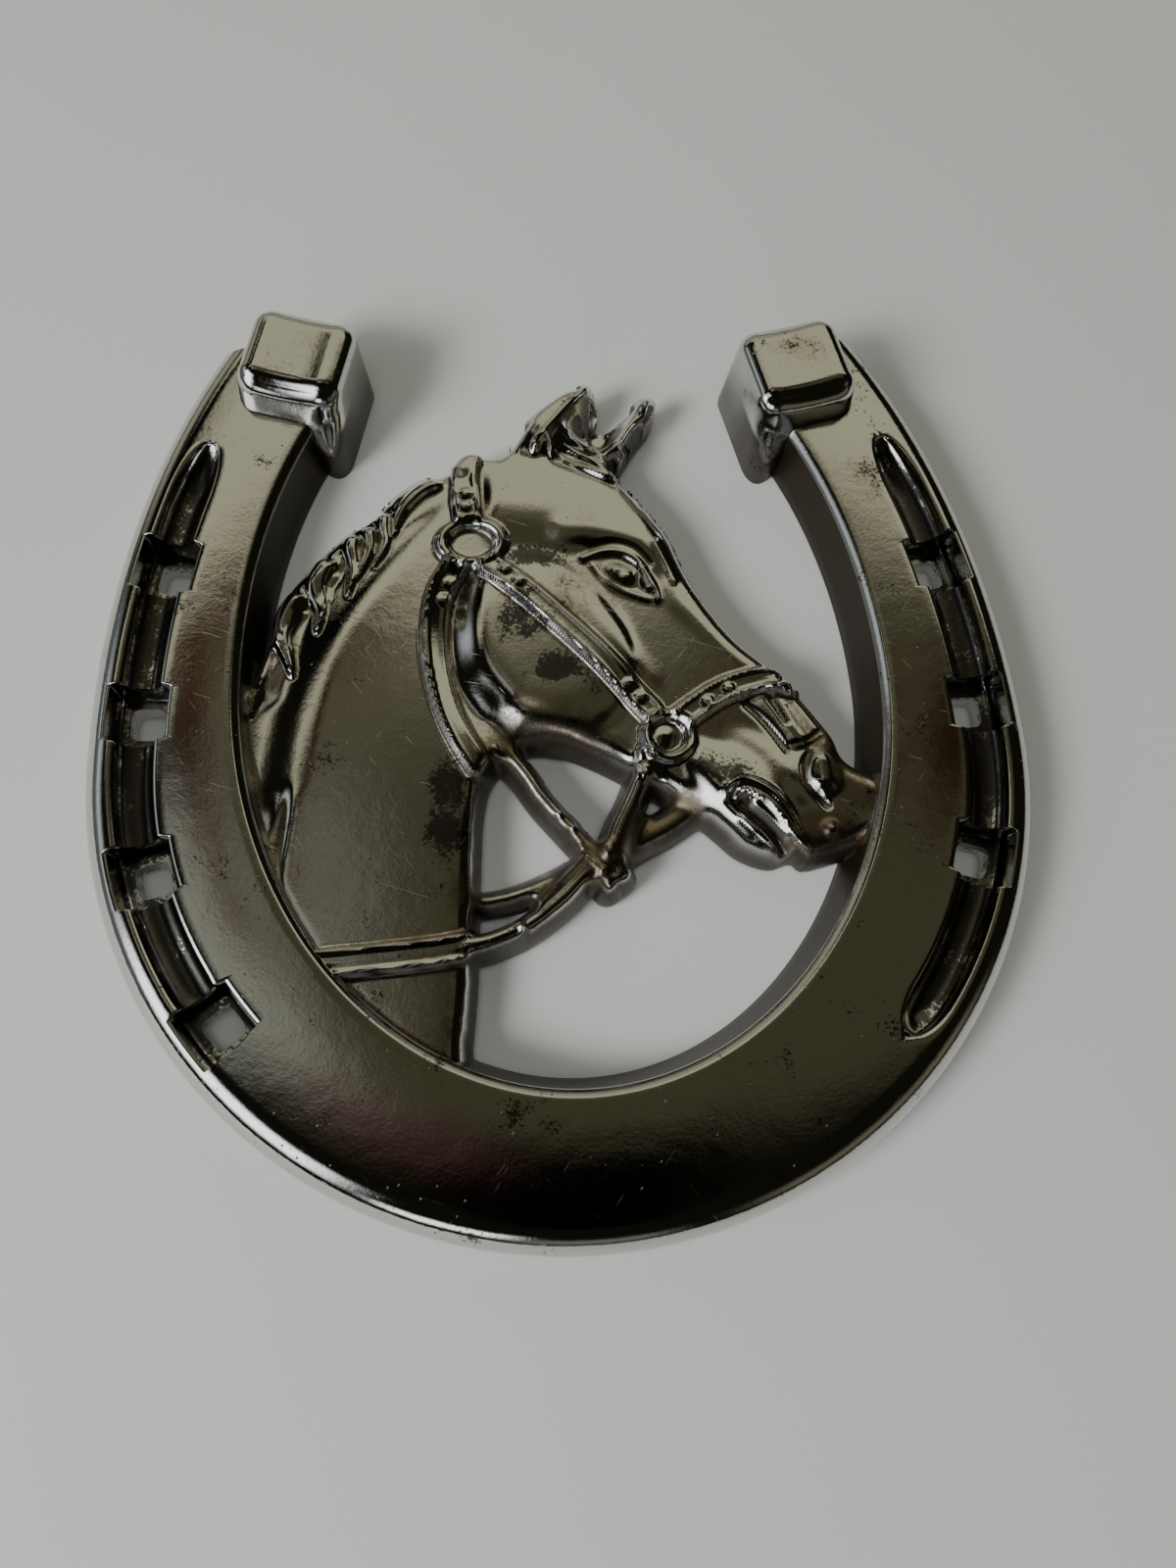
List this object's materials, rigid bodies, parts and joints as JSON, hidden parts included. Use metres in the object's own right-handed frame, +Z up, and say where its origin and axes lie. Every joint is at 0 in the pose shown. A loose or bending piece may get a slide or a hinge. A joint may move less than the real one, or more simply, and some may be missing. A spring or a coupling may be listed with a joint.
{
  "type": "horse brass",
  "caption": "Chrome-plated horseshoe ornament holding a haltered horse's head in relief; lies flat or hangs by its nail holes.",
  "frame": {"origin": "middle of the footprint, on the flat back it lies on", "axes": "+Z up out of the relief, square to the flat back; +Y towards the shoe's open heels; +X to the side the horse faces"},
  "size_m": [0.1288, 0.132, 0.0151],
  "materials": {
    "worn_chrome_plate": "worn chrome plating with brown tarnish, pits and fine scratches"
  },
  "bodies": {
    "root": {"horse_brass": "worn_chrome_plate"}
  },
  "joints": []
}
